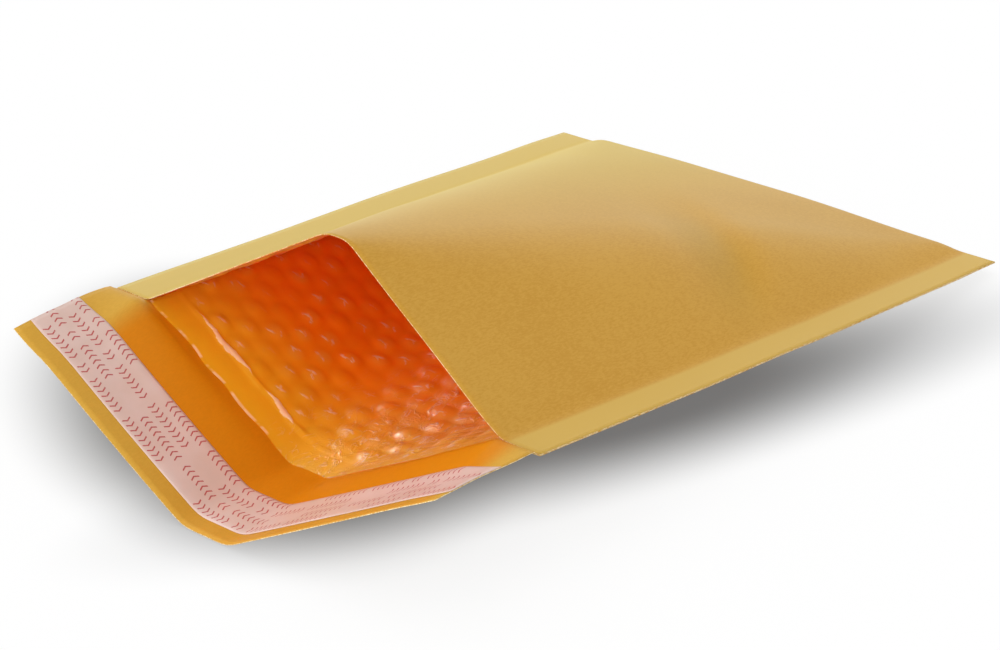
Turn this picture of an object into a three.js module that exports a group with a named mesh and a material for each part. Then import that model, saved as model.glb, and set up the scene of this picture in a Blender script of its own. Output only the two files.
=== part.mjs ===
// A padded postal envelope, lying on its back panel with its mouth pushed wide open.
// Millimetres, +Z up. The origin is under the middle of the envelope, on the surface it lies on.
// The bottom fold is at +Y and the flap at -Y.
//
// Each panel is a sheet laid out in paper coordinates: how far in from the side edge, and how far
// along from the bottom fold. A cross-section follows the paper's slope angle from both edges to
// the middle, so the paper keeps its width however far the mouth is open. All layers of a panel
// share one plan grid and differ only in height, so they can't cross each other.
import * as THREE from "three";
import { mergeVertices } from "three/addons/utils/BufferGeometryUtils.js";

// Sizes of the flat envelope
const envelopeWidth = 216;
const bodyLength = 279.4;
const flapLength = 50;
const seamWidth = 12.7;
const paperThickness = 0.3;

// Bubble lining: a ply on each panel, and the plies meet along the sides and at the bottom fold
const liningThickness = 3;
const liningClearance = 0.3;
const sealGap = 0.1;
const liningSideInset = 3;
const liningMouthInset = 0.6;
const foldGap = 0.7;
const pocketSideMargin = 0.5;
const pocketEndMargin = 3.7;

// Closure on the flap: a band of adhesive under a release liner
const linerWidth = 23;
const linerThickness = 0.1;
const linerToFlapEdge = 7.5;
const adhesiveThickness = 0.15;
const adhesiveLongInset = 1.5;
const adhesiveEndInset = 2;
const stripClearance = 0.1;

// How the envelope is opened, with slopes in radians at the mouth
const front = { slope: 0.55, rounding: 4.8, flat: 0, shift: 4 };
const back = { slope: 0.511, rounding: 3, flat: 5, shift: -3.5 };
const flapLeft = { slope: 0.497, settling: 9 };
const flapRight = { slope: 0.517, settling: 24 };
const flapRounding = 5.3;
const seamRamp = 5;
const foldRounding = 4;
const kneeSoftness = 14;

// Grid spacing
const widthStep = 8;
const lengthStep = 24;
const angleStep = 0.25;
const noseShares = [0, 0.1, 0.3, 0.6, 1];
const settlingShares = [0.18, 0.42, 0.7];

const paper = new THREE.MeshStandardMaterial({ color: 0xc89a55, roughness: 0.8, metalness: 0 });
const film = new THREE.MeshStandardMaterial({ color: 0xd98a3c, roughness: 0.25, metalness: 0 });
const glue = new THREE.MeshStandardMaterial({ color: 0xe8dcc0, roughness: 0.35, metalness: 0 });
const liner = new THREE.MeshStandardMaterial({ color: 0xe9d9d2, roughness: 0.45, metalness: 0 });

// Half the thickness of a seam, and how far each panel stands off the seams' level at the bottom fold
const seamHalf = paperThickness;
const foldPadding = liningClearance + liningThickness + foldGap;
const noseLength = foldPadding + seamHalf;

// Where the two plies of the lining part, from the inner edge of a seam and from the bottom fold
const gentlestSlope = Math.min(front.slope, back.slope);
const pocketSideInset = seamRamp / 2 + foldPadding / Math.sin(gentlestSlope) + pocketSideMargin;
const pocketEndInset = noseLength + pocketEndMargin;

const lerp = (a, b, t) => a + (b - a) * t;
const lastOf = (list) => list[list.length - 1];
const columnOf = (grid, j) => grid.map((line) => line[j]);
const smooth = (t) => THREE.MathUtils.smoothstep(t, 0, 1);

// From a side edge to the ridge or keel of a panel, along the paper
function halfWidth(side, edge) {
  return envelopeWidth / 2 + edge * side.shift;
}

// Slope angle of the body at a distance in from the side edge; edge is 1 on the left, -1 on the right
function bodyAngle(side, edge, along, inward) {
  const half = halfWidth(side, edge) - seamWidth;
  const slope = side.slope * (2 - half / (envelopeWidth / 2 - seamWidth));
  const opened = along / bodyLength;
  const softness = kneeSoftness * 4 * opened * (1 - opened);
  const rounding = lerp(foldRounding, side.rounding, opened) + softness;
  const reachAtFold = foldPadding / Math.sin(slope) + seamRamp / 2;
  const reach = lerp(reachAtFold, half - side.flat - side.rounding, opened);
  const fromSeam = inward - seamWidth;
  const rise = smooth(fromSeam / seamRamp);
  const levelling = smooth((fromSeam - reach + rounding) / (2 * rounding));
  return slope * rise * (1 - levelling);
}

// Slope angle of the flap where it no longer follows the mouth
function flapAngle(edge, inward) {
  const half = halfWidth(back, edge);
  const slope = flapSide(edge).slope * (2 - (2 * half) / envelopeWidth);
  const start = half - back.flat - 2 * flapRounding;
  return slope * (1 - smooth((inward - start) / (2 * flapRounding)));
}

function flapSide(edge) {
  return edge > 0 ? flapLeft : flapRight;
}

function slopeAngle(side, edge, along, inward) {
  if (along <= bodyLength) return bodyAngle(side, edge, along, inward);
  const settled = smooth((along - bodyLength) / flapSide(edge).settling);
  return lerp(bodyAngle(side, edge, bodyLength, inward), flapAngle(edge, inward), settled);
}

// Distances in from one side edge at which the grid has a line
function inwardNodes(side, edge) {
  const first = [0, adhesiveEndInset, seamWidth];
  const lining = [liningSideInset / 2, liningSideInset, (liningSideInset + pocketSideInset) / 2];
  const nodes = [...first, ...lining.map((d) => seamWidth + d), seamWidth + pocketSideInset];
  const start = lastOf(nodes);
  const steps = Math.ceil((envelopeWidth / 2 - seamWidth - pocketSideInset) / widthStep);
  for (let i = 1; i <= steps; i++) nodes.push(lerp(start, halfWidth(side, edge), i / steps));
  return nodes;
}

// Which of those lines bound the adhesive, the seam, the lining and the pocket
const adhesiveLine = 1;
const seamLine = 2;
const liningLine = 4;
const pocketLine = 6;

// Follows the slope angle inwards from one edge: how far in, how high and how steep at each node
function halfSection(side, edge, along) {
  const points = [];
  let across = 0;
  let height = 0;
  let inward = 0;
  for (const node of inwardNodes(side, edge)) {
    const steps = Math.ceil((node - inward) / angleStep);
    const step = steps > 0 ? (node - inward) / steps : 0;
    for (let i = 0; i < steps; i++) {
      const angle = slopeAngle(side, edge, along, inward + (i + 0.5) * step);
      across += Math.cos(angle) * step;
      height += Math.sin(angle) * step;
    }
    inward = node;
    points.push({ across, height, angle: slopeAngle(side, edge, along, node) });
  }
  return points;
}

// A whole section from left to right, centred. Both halves of the body reach one height, since its
// seams lie level, and each half of the flap keeps its own.
function section(side, along) {
  const left = halfSection(side, 1, along);
  const right = halfSection(side, -1, along);
  const leftEnd = lastOf(left);
  const rightEnd = lastOf(right);
  const shared = (leftEnd.height + rightEnd.height) / 2;
  const onBody = along <= bodyLength;
  const leftPeak = onBody ? shared : leftEnd.height;
  const rightPeak = onBody ? shared : rightEnd.height;
  const chord = leftEnd.across + rightEnd.across;
  const nodes = left.map((p) => ({
    x: p.across - chord / 2,
    height: (p.height * leftPeak) / leftEnd.height,
    peak: leftPeak,
    steep: 1 / Math.cos(p.angle),
  }));
  right.pop();
  right.reverse().forEach((p) => nodes.push({
    x: chord / 2 - p.across,
    height: (p.height * rightPeak) / rightEnd.height,
    peak: rightPeak,
    steep: 1 / Math.cos(p.angle),
  }));
  return { nodes, peak: shared, chord };
}

// Distances along the body at which the grid has a row: close together round the bottom fold
const bodyRows = [...noseShares.map((t) => t * noseLength), pocketEndInset];
const liningEnd = bodyLength - liningMouthInset;
const bodySteps = Math.ceil((liningEnd - pocketEndInset) / lengthStep);
for (let i = 1; i <= bodySteps; i++) bodyRows.push(lerp(pocketEndInset, liningEnd, i / bodySteps));
bodyRows.push(bodyLength);

// Which of those rows start the inside of the paper, the lining and the pocket, and which end them
const insideRow = 1;
const liningRow = 2;
const pocketRow = noseShares.length;
const mouthRow = bodyRows.length - 1;
const liningEndRow = mouthRow - 1;

const linerEnd = bodyLength + flapLength - linerToFlapEdge;
const linerStart = linerEnd - linerWidth;
const adhesiveStart = linerStart + adhesiveLongInset;
const adhesiveEnd = linerEnd - adhesiveLongInset;
const linerMiddle = (linerStart + linerEnd) / 2;
const flapRows = [
  ...settlingShares.map((t) => lerp(bodyLength, linerStart, t)),
  linerStart, adhesiveStart, linerMiddle, adhesiveEnd, linerEnd,
  bodyLength + flapLength,
];

// The middle of a seam rises straight from the bottom fold to the mouth
const mouthBack = section(back, bodyLength);

function seamHeight(along) {
  return seamHalf + lerp(foldPadding, mouthBack.peak, along / bodyLength);
}

// Plan and height of every grid node of a panel; the back panel takes the front panel's span
function panelRows(side, up, alongs) {
  const rows = [];
  for (const along of alongs) {
    const onBody = along <= bodyLength;
    const shape = section(side, along);
    const bodyShape = onBody ? shape : mouthBack;
    const fit = section(front, Math.min(along, bodyLength)).chord / bodyShape.chord;
    const grow = up < 0 && onBody ? (seamHeight(along) - seamHalf) / shape.peak : 1;
    const nose = noseShare(along);
    rows.push(shape.nodes.map((p) => ({
      x: p.x * fit,
      height: p.height * grow * nose,
      steep: p.steep,
      middle: onBody ? seamHeight(along) : seamHalf + p.peak,
      along,
    })));
  }
  addLengthPositions(rows, up);
  return rows;
}

// The panel rises from the bottom fold as a quarter of an ellipse
function noseShare(along) {
  const t = Math.min(along / noseLength, 1);
  return Math.sqrt(1 - (1 - t) ** 2);
}

// Paper that climbs or closes in reaches less far along, so it keeps its length too
function addLengthPositions(rows, up) {
  rows.forEach((row, i) => row.forEach((node, j) => {
    if (node.along <= noseLength) {
      node.y = -node.along;
      return;
    }
    const before = rows[i - 1][j];
    const step = node.along - before.along;
    const sideways = node.x - before.x;
    const climb = node.middle + up * node.height - before.middle - up * before.height;
    node.y = before.y - Math.sqrt(step ** 2 - sideways ** 2 - climb ** 2);
  }));
}

const frontRows = panelRows(front, 1, bodyRows);
const backRows = panelRows(back, -1, [...bodyRows, ...flapRows]);
const lastColumn = frontRows[0].length - 1;

const reachY = backRows.flat().map((node) => node.y);
const middleY = (Math.max(...reachY) + Math.min(...reachY)) / 2;

// A point of a layer: up is 1 for the front panel and -1 for the back one, depth is below its outer face
function layerPoint(node, up, depth) {
  const z = node.middle + up * (seamHalf + node.height - depth * node.steep);
  return new THREE.Vector3(node.x, node.y - middleY, z);
}

// On the line where both panels meet, half way between them
function meetingPoint(row, column) {
  const above = frontRows[row][column];
  const below = backRows[row][column];
  const x = (above.x + below.x) / 2;
  return new THREE.Vector3(x, (above.y + below.y) / 2 - middleY, above.middle);
}

function layerGrid(rows, up, depth, firstRow, lastRow, firstColumn, endColumn) {
  const grid = [];
  for (let i = firstRow; i <= lastRow; i++) {
    const line = rows[i].slice(firstColumn, endColumn + 1);
    grid.push(line.map((node) => layerPoint(node, up, depth)));
  }
  return grid;
}

// Closes a layer of both panels along its sides and its first row
function closeEdges(grids, firstRow, firstColumn) {
  for (const grid of grids) {
    const width = grid[0].length - 1;
    grid.forEach((line, i) => line.forEach((point, j) => {
      if (i > 0 && j > 0 && j < width) return;
      point.copy(meetingPoint(firstRow + i, firstColumn + j));
    }));
  }
}

// Collects triangles. A strip that runs along its lines faces the side from which its first line
// lies to the left of its second.
class Skin {
  constructor() {
    this.corners = [];
  }

  strip(left, right) {
    for (let i = 0; i + 1 < left.length; i++) {
      this.triangle(left[i], right[i], right[i + 1]);
      this.triangle(left[i], right[i + 1], left[i + 1]);
    }
    return this;
  }

  triangle(a, b, c) {
    if (a.equals(b) || b.equals(c) || c.equals(a)) return;
    this.corners.push(a, b, c);
  }

  facingUp(grid) {
    for (let i = 0; i + 1 < grid.length; i++) this.strip(grid[i], grid[i + 1]);
    return this;
  }

  facingDown(grid) {
    for (let i = 0; i + 1 < grid.length; i++) {
      for (let j = 0; j + 1 < grid[i].length; j++) {
        this.triangle(grid[i][j], grid[i + 1][j + 1], grid[i + 1][j]);
        this.triangle(grid[i][j], grid[i][j + 1], grid[i + 1][j + 1]);
      }
    }
    return this;
  }

  mesh(name, material) {
    const geometry = new THREE.BufferGeometry().setFromPoints(this.corners);
    const merged = mergeVertices(geometry, 1e-4);
    merged.computeVertexNormals();
    const mesh = new THREE.Mesh(merged, material);
    mesh.name = name;
    return mesh;
  }
}

// One kraft sheet: the back panel runs on into the flap, and the seams are bonded face to face
function kraftEnvelope() {
  const flapRow = backRows.length - 1;
  const top = layerGrid(frontRows, 1, 0, 0, mouthRow, 0, lastColumn);
  const bottom = layerGrid(backRows, -1, 0, 0, flapRow, 0, lastColumn);
  const bond = top.map((line, i) => line.map((point, j) => meetingPoint(i, j)));
  const rightSeamLine = lastColumn - seamLine;
  const ceiling = layerGrid(frontRows, 1, paperThickness, insideRow, mouthRow, seamLine, rightSeamLine);
  const floor = layerGrid(backRows, -1, paperThickness, insideRow, mouthRow, seamLine, rightSeamLine);
  closeEdges([ceiling, floor], insideRow, seamLine);

  const flapFace = layerGrid(backRows, -1, paperThickness, mouthRow, flapRow, 0, lastColumn);
  const mouthBond = lastOf(bond);
  const leftSeam = mouthBond.slice(0, seamLine + 1);
  const rightSeam = mouthBond.slice(rightSeamLine);
  flapFace[0] = [...leftSeam, ...lastOf(floor).slice(1, -1), ...rightSeam];
  const bodyBottom = bottom.slice(0, mouthRow + 1);
  const flapBottom = bottom.slice(mouthRow);

  const skin = new Skin();
  skin.facingUp(top).facingDown(bottom).facingDown(ceiling).facingUp(floor).facingUp(flapFace);
  skin.strip(columnOf(top, 0), columnOf(bond, 0));
  skin.strip(columnOf(bond, 0), columnOf(bodyBottom, 0));
  skin.strip(columnOf(bond, lastColumn), columnOf(top, lastColumn));
  skin.strip(columnOf(bodyBottom, lastColumn), columnOf(bond, lastColumn));
  skin.strip(bond[0], top[0]).strip(bottom[0], bond[0]);
  skin.strip(lastOf(top).slice(seamLine, rightSeamLine + 1), lastOf(ceiling));
  skin.strip(lastOf(top).slice(0, seamLine + 1), leftSeam);
  skin.strip(lastOf(top).slice(rightSeamLine), rightSeam);
  skin.strip(columnOf(flapFace, 0), columnOf(flapBottom, 0));
  skin.strip(columnOf(flapBottom, lastColumn), columnOf(flapFace, lastColumn));
  skin.strip(lastOf(flapFace), lastOf(flapBottom));
  return skin.mesh("kraft_envelope", paper);
}

// On the surface where the two plies of the lining meet, with half the gap between them
function sealPoint(row, column, up) {
  const point = meetingPoint(row, column);
  point.z += (up * sealGap) / 2;
  return point;
}

// The bubble film of one panel: it lies on the seal all round the pocket, and follows the panel inside it
function liningPly(name, rows, up) {
  const outerDepth = paperThickness + liningClearance;
  const innerDepth = outerDepth + liningThickness;
  const endColumn = lastColumn - liningLine;
  const outer = layerGrid(rows, up, outerDepth, liningRow, liningEndRow, liningLine, endColumn);
  const inner = layerGrid(rows, up, innerDepth, liningRow, liningEndRow, liningLine, endColumn);
  const width = endColumn - liningLine;
  inner.forEach((line, i) => line.forEach((point, j) => {
    const row = liningRow + i;
    const column = liningLine + j;
    const fromSide = Math.min(column, lastColumn - column);
    if (row <= pocketRow || fromSide <= pocketLine) point.copy(sealPoint(row, column, up));
    if (i === 0 || j === 0 || j === width) outer[i][j].copy(point);
  }));

  const skin = new Skin();
  const [upper, lower] = up > 0 ? [outer, inner] : [inner, outer];
  skin.facingUp(upper).facingDown(lower).strip(lastOf(upper), lastOf(lower));
  return skin.mesh(name, film);
}

// A thin band on the flap, from one row to another and between the same line at both sides
function flapBand(name, material, from, to, line, depth, thickness) {
  const first = backRows.findIndex((row) => row[0].along === from);
  const last = backRows.findIndex((row) => row[0].along === to);
  const low = layerGrid(backRows, -1, depth, first, last, line, lastColumn - line);
  const high = layerGrid(backRows, -1, depth + thickness, first, last, line, lastColumn - line);
  const end = low[0].length - 1;
  const skin = new Skin();
  skin.facingUp(high).facingDown(low);
  skin.strip(columnOf(high, 0), columnOf(low, 0));
  skin.strip(columnOf(low, end), columnOf(high, end));
  skin.strip(low[0], high[0]).strip(lastOf(high), lastOf(low));
  return skin.mesh(name, material);
}

function adhesiveStrip() {
  const depth = paperThickness + stripClearance;
  const [from, to] = [adhesiveStart, adhesiveEnd];
  return flapBand("adhesive_strip", glue, from, to, adhesiveLine, depth, adhesiveThickness);
}

function releaseLiner() {
  const depth = paperThickness + stripClearance + adhesiveThickness + stripClearance;
  return flapBand("release_liner", liner, linerStart, linerEnd, 0, depth, linerThickness);
}

const envelope = new THREE.Group();
envelope.add(kraftEnvelope());
envelope.add(liningPly("front_lining", frontRows, 1), liningPly("back_lining", backRows, -1));
envelope.add(adhesiveStrip(), releaseLiner());

export default envelope;
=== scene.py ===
import math

import bmesh
import bpy
import numpy as np
from mathutils import Euler, Matrix, Vector, noise


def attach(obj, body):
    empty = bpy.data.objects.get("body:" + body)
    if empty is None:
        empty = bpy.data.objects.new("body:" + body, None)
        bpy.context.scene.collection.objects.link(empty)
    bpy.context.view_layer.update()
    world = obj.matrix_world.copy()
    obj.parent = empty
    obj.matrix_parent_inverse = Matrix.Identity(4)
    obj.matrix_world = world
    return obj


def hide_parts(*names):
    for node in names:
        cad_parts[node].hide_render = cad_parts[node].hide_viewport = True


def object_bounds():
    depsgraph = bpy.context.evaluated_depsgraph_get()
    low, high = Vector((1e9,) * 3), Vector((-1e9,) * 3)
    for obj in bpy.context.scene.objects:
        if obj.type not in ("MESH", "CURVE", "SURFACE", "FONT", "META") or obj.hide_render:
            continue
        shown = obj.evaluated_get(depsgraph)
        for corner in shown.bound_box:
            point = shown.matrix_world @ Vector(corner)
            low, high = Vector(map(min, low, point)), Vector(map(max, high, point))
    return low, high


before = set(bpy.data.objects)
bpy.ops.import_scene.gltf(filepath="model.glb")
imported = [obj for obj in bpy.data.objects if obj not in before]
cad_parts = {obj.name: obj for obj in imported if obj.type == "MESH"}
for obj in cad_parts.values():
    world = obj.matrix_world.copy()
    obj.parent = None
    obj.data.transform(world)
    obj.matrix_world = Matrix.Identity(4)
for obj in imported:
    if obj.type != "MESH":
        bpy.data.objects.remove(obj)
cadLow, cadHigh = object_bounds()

print("frame loaded:", sorted(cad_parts))

mm = 0.001

# across runs from the left side edge to the right one, along runs from the bottom fold to the mouth
# and on over the flap; lengths in metres, slopes in radians at the mouth
envelope = {
    "width": 216 * mm,
    "bodyLength": 279.4 * mm,
    "flapLength": 50 * mm,
    "seamWidth": 12.7 * mm,
    "paper": 0.3 * mm,
    "seamRamp": 5 * mm,
    "foldPadding": 4 * mm,
    "foldRounding": 4 * mm,
    "kneeSoftness": 30 * mm,
    "flapRounding": 5.3 * mm,
    "flapKink": 0.35,             # share of the flap's rise that comes straight after the seams' ends
    "flapBulge": 1.4 * mm,        # of the left side's edge, half way out
}
frontPanel = {"slope": 0.55, "rounding": 4.8 * mm, "flat": 0.0, "shift": 4 * mm}
backPanel = {"slope": 0.511, "rounding": 3 * mm, "flat": 5 * mm, "shift": -3.5 * mm}
flapLeft = {"slope": 0.497, "settling": 32 * mm}
flapRight = {"slope": 0.517, "settling": 32 * mm}

width = envelope["width"]
bodyLength = envelope["bodyLength"]
seamWidth = envelope["seamWidth"]
paper = envelope["paper"]
noseLength = envelope["foldPadding"] + paper
flapEnd = bodyLength + envelope["flapLength"]


def smooth(t):
    t = np.clip(t, 0, 1)
    return t * t * (3 - 2 * t)


def mix(a, b, t):
    return a + (b - a) * t


def halfWidth(panel, edge):
    return width / 2 + edge * panel["shift"]


def bodyAngle(panel, edge, along, inward):
    half = halfWidth(panel, edge) - seamWidth
    slope = panel["slope"] * (2 - half / (width / 2 - seamWidth))
    opened = along / bodyLength
    softness = envelope["kneeSoftness"] * 4 * opened * (1 - opened)
    rounding = mix(envelope["foldRounding"], panel["rounding"], opened) + softness
    reachAtFold = envelope["foldPadding"] / math.sin(slope) + envelope["seamRamp"] / 2
    reach = mix(reachAtFold, half - panel["flat"] - panel["rounding"], opened)
    fromSeam = inward - seamWidth
    levelling = smooth((fromSeam - reach + rounding) / (2 * rounding))
    return slope * smooth(fromSeam / envelope["seamRamp"]) * (1 - levelling)


def flapAngle(edge, inward):
    flapSide = flapLeft if edge > 0 else flapRight
    half = halfWidth(backPanel, edge)
    rounding = envelope["flapRounding"]
    start = half - backPanel["flat"] - 2 * rounding
    slope = flapSide["slope"] * (2 - 2 * half / width)
    return slope * (1 - smooth((inward - start) / (2 * rounding)))


def slopeAngle(panel, edge, along, inward):
    if along <= bodyLength:
        return bodyAngle(panel, edge, along, inward)
    flapSide = flapLeft if edge > 0 else flapRight
    settled = smooth((along - bodyLength) / flapSide["settling"])
    return mix(bodyAngle(panel, edge, bodyLength, inward), flapAngle(edge, inward), settled)


def halfSection(panel, edge, along):
    steps = 480
    ends = np.linspace(0, halfWidth(panel, edge), steps + 1)
    step = ends[1]
    angle = slopeAngle(panel, edge, along, (ends[1:] + ends[:-1]) / 2)
    reach = np.concatenate([[0], np.cumsum(np.cos(angle)) * step])
    height = np.concatenate([[0], np.cumsum(np.sin(angle)) * step])
    return ends, reach, height


def section(panel, along, across):
    # plan and height of the paper over its side edges at the given places across
    ends, leftReach, leftHeight = halfSection(panel, 1, along)
    rightEnds, rightReach, rightHeight = halfSection(panel, -1, along)
    leftPeak, rightPeak = leftHeight[-1], rightHeight[-1]
    shared = (leftPeak + rightPeak) / 2
    chord = leftReach[-1] + rightReach[-1]
    onLeft = across <= halfWidth(panel, 1)
    x = np.where(onLeft, np.interp(across, ends, leftReach) - chord / 2,
                 chord / 2 - np.interp(width - across, rightEnds, rightReach))
    left = np.interp(across, ends, leftHeight)
    right = np.interp(width - across, rightEnds, rightHeight)
    if along <= bodyLength:
        left, right = left * shared / leftPeak, right * shared / rightPeak
        leftPeak = rightPeak = shared
    height = np.where(onLeft, left, right)
    peak = np.where(onLeft, leftPeak, rightPeak)
    return x, height, peak, shared, chord


mouthBack = section(backPanel, bodyLength, np.array([0.0]))
flapEndPeaks = [section(backPanel, flapEnd, np.array([u]))[2][0] for u in (0.0, width)]
mouthFrontChord = section(frontPanel, bodyLength, np.array([0.0]))[4]


def seamHeight(along):
    return paper + mix(envelope["foldPadding"], mouthBack[3], along / bodyLength)


def softNoise(x, y, seed):
    # seeds lie far apart in the noise
    return noise.noise(Vector((x, y, seed * 7.31)))


# gentle unevenness of the panels
unevenness = {
    "panelWave": 0.5 * mm,
    "panelWaveLength": 70 * mm,
    "seamWave": 0.6 * mm,
    "seamWaveLength": 55 * mm,
    "seamWaveBreadth": 60 * mm,   # how far a seam's wave reaches into the panels
    "calmEdge": 25 * mm,          # of the front panel beside a seam
    "calmFold": 30 * mm,
    "calmMouth": (215 * mm, 265 * mm),    # along, where the waves die out
    "dents": [                    # across, along, half length, half breadth, turn, depth; in mm and degrees
        (158, 108, 44, 9, 35, 1.0),
        (152, 116, 46, 17, 35, 1.9),
        (163, 101, 42, 9, 35, -0.5),
        (60, 190, 40, 30, 0, -0.5),
    ],
    "cornersAlong": (5 * mm, 95 * mm),    # start and reach of the flatter ends of the bottom fold
    "nearCorner": (120 * mm, 75 * mm, 0.5),       # start across, reach, and share of the padding lost
    "farCorner": (70 * mm, 50 * mm, 0.22),
}


def dentDepth(dents, across, along):
    depth = np.zeros(len(across))
    for u, v, reachLong, reachShort, turn, size in dents:
        c, s = math.cos(math.radians(turn)), math.sin(math.radians(turn))
        du, dv = across / mm - u, along / mm - v
        away = ((du * c + dv * s) / reachLong) ** 2 + ((dv * c - du * s) / reachShort) ** 2
        depth += size * mm * np.exp(-away)
    return depth


def cornerFactor(across, along):
    # the bottom fold is pressed flatter towards its ends
    start, reach = unevenness["cornersAlong"]
    nearFold = 1 - smooth((along - start) / reach)
    start, reach, share = unevenness["nearCorner"]
    nearEnd = smooth((across - start) / reach) * share
    start, reach, share = unevenness["farCorner"]
    farEnd = smooth((start - across) / reach) * share
    return 1 - nearFold * (nearEnd + farEnd)


def panelSurface(panel, alongs, across):
    # points of the paper's outer face at every pair of along and across
    isFront = panel is frontPanel
    up = 1 if isFront else -1
    end = bodyLength if isFront else flapEnd
    # rows in between keep the lengths true, and are dropped at the end
    between = np.arange(0, end, 2 * mm)
    decimals = 7
    rows = np.unique(np.round(np.concatenate([alongs, between]), decimals))
    rows = rows[rows <= end + 10 ** -decimals]
    kept = np.searchsorted(rows, np.round(alongs, decimals))
    points = np.zeros((len(rows), len(across), 3))
    for i, along in enumerate(rows):
        x, height, peak, shared, chord = section(panel, along, across)
        if along <= bodyLength:
            fit = section(frontPanel, along, across[:1])[4] / chord
            nose = math.sqrt(1 - (1 - min(along / noseLength, 1)) ** 2)
            grow = nose * (1 if isFront else (seamHeight(along) - paper) / shared)
            if isFront:
                grow = grow * cornerFactor(across, along)
            middle = seamHeight(along)
        else:
            fit = mouthFrontChord / mouthBack[4]
            # the flap's sides kink up past the ends of the seams, then run on straight
            outward = along - bodyLength
            out = outward / envelope["flapLength"]
            onLeft = across <= halfWidth(panel, 1)
            share = mix(out, 1, envelope["flapKink"] * smooth(outward / (5 * mm)))
            rise = mix(mouthBack[3], np.where(onLeft, *flapEndPeaks), share)
            rise = rise + np.where(onLeft, envelope["flapBulge"], 0) * 4 * out * (1 - out)
            grow = rise / peak
            middle = paper + rise
        points[i, :, 0] = x * fit
        points[i, :, 2] = middle + up * (paper + height * grow)
    wave(points, rows, across, panel)
    # paper that climbs or closes in reaches less far along, so it keeps its length
    for i, along in enumerate(rows):
        if along <= noseLength:
            points[i, :, 1] = cadHigh.y - along
            continue
        step = points[i] - points[i - 1]
        reach = (along - rows[i - 1]) ** 2 - step[:, 0] ** 2 - step[:, 2] ** 2
        points[i, :, 1] = points[i - 1, :, 1] - np.sqrt(np.maximum(reach, 0))
    return points[kept]


def wave(points, rows, across, panel):
    # the front panel is uneven; both panels share the waves of the seams
    inward = np.minimum(across, width - across)
    onPanel = smooth((inward - seamWidth) / unevenness["calmEdge"])
    nearSeam = 1 - smooth(inward / unevenness["seamWaveBreadth"])
    length, seamLength = unevenness["panelWaveLength"], unevenness["seamWaveLength"]
    calmFrom, calmTo = unevenness["calmMouth"]
    for i, along in enumerate(rows):
        fromMouth = 1 - smooth((along - calmFrom) / (calmTo - calmFrom))
        fade = smooth(along / unevenness["calmFold"]) * fromMouth
        leftWave = softNoise(along / seamLength, 0, 5)
        rightWave = softNoise(along / seamLength, 0, 9)
        edge = np.where(across < width / 2, leftWave, rightWave)
        points[i, :, 2] += edge * nearSeam * unevenness["seamWave"] * fade
        if panel is not frontPanel:
            continue
        wavy = np.array([softNoise(u / length, along / length, 2) for u in across])
        sunk = wavy * unevenness["panelWave"] + dentDepth(unevenness["dents"], across, along)
        points[i, :, 2] -= sunk * onPanel * fade


def inwardNormals(points, panel):
    # normals of a grid of points, by its neighbours along and across, towards the pocket
    normal = np.cross(np.gradient(points, axis=1), np.gradient(points, axis=0))
    normal /= np.maximum(np.linalg.norm(normal, axis=2, keepdims=True), 1e-12)
    return normal if (normal[0, 0, 2] < 0) == (panel is frontPanel) else -normal


def gridMesh(name, points, acrossPlaces, alongPlaces):
    # a sheet from a bmesh grid whose vertices are moved to points[row, column]
    rows, columns = points.shape[:2]
    bm = bmesh.new()
    uv = bm.loops.layers.uv.new("paper")
    bmesh.ops.create_grid(bm, x_segments=columns - 1, y_segments=rows - 1, size=0.5)
    bm.verts.ensure_lookup_table()
    places = {}
    for vert in bm.verts:
        column = round((vert.co.x + 0.5) * (columns - 1))
        row = round((vert.co.y + 0.5) * (rows - 1))
        places[vert.index] = (acrossPlaces[column], alongPlaces[row])
        vert.co = points[row, column]
    for face in bm.faces:
        face.smooth = True
        for loop in face.loops:
            loop[uv].uv = places[loop.vert.index]
    mesh = bpy.data.meshes.new(name)
    bm.to_mesh(mesh)
    bm.free()
    piece = bpy.data.objects.new(name, mesh)
    bpy.context.scene.collection.objects.link(piece)
    return piece


def spread(marks, step):
    # places that include every mark, with steps no longer than step between them
    places = [marks[0]]
    for a, b in zip(marks, marks[1:]):
        count = max(1, math.ceil((b - a) / step - 1e-6))
        places.extend(a + (b - a) * (i + 1) / count for i in range(count))
    return np.array(places)


def newMaterial(name):
    material = bpy.data.materials.new(name)
    material.use_nodes = True
    nodes = material.node_tree.nodes
    nodes.clear()
    output = nodes.new("ShaderNodeOutputMaterial")
    shader = nodes.new("ShaderNodeBsdfPrincipled")
    material.node_tree.links.new(shader.outputs[0], output.inputs[0])
    return material, shader


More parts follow.
